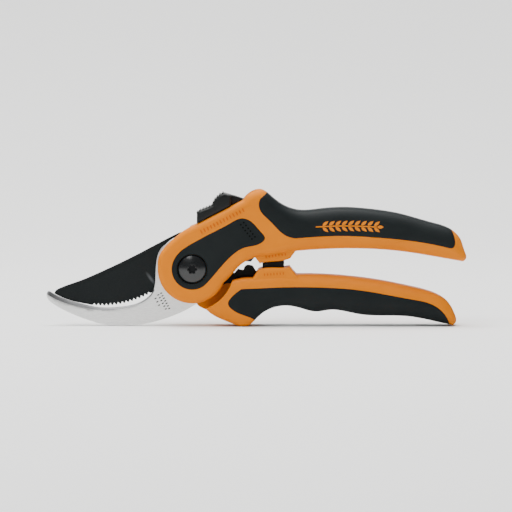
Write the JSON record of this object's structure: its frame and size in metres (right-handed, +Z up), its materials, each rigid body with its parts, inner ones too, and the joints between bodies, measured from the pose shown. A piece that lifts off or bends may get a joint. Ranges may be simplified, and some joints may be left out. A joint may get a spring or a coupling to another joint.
{
  "type": "pruning shears",
  "caption": "Bypass pruning shears with curved hook jaw, toothed black blade, soft-grip handles, return spring and sliding thumb lock.",
  "frame": {"origin": "middle of the box in plan, on the ground, with the shears closed and standing on their lower edge", "axes": "+X towards the handles, -X towards the blades; +Y towards the nut side, the bolt head faces -Y; +Z up, from the lower handle to the upper handle"},
  "size_m": [0.2096, 0.02, 0.0682],
  "materials": {
    "orange_plastic": "satin moulded orange nylon",
    "soft_grip": "fine matt black overmould",
    "bumper_rubber": "matt black rubber",
    "black_plastic": "satin black plastic",
    "jaw_steel": "satin ground steel",
    "coated_steel": "matt black low-friction coating on steel",
    "black_steel": "black oxide steel",
    "bright_steel": "plain steel",
    "spring_steel": "dark spring wire",
    "bronze": "sintered bronze"
  },
  "bodies": {
    "upper_body": {"upper_frame": "orange_plastic", "upper_grip": "soft_grip", "front_inlay": "soft_grip", "hook_blade": "jaw_steel", "pivot_bolt": "black_steel", "bolt_washer": "bright_steel", "pivot_bush": "bronze", "spring_washer": "bright_steel", "pivot_nut": "black_steel", "upper_tang_pins": "bright_steel", "upper_spring_cup": "bright_steel", "return_spring": "spring_steel"},
    "lower_body": {"lower_frame": "orange_plastic", "lower_grip": "soft_grip", "rear_inlay": "soft_grip", "cutting_blade": "coated_steel", "lower_tang_pins": "bright_steel", "lower_spring_cup": "bright_steel", "bumper": "bumper_rubber"},
    "lock": {"lock_slider": "black_plastic", "lock_bar": "black_steel", "lock_rivets": "bright_steel", "detent_spring": "spring_steel"}
  },
  "joints": [
    {"name": "pivot", "type": "hinge", "parent": "upper_body", "child": "lower_body", "pos_m": [-0.03198, 0, 0.02876], "axis": [0, 1, 0], "range_deg": [0, 28], "deforming": ["return_spring"]},
    {"name": "lock_slide", "type": "slide", "parent": "upper_body", "child": "lock", "axis": [0.8862, 0, 0.4633], "range_m": [0, 0.006]}
  ]
}
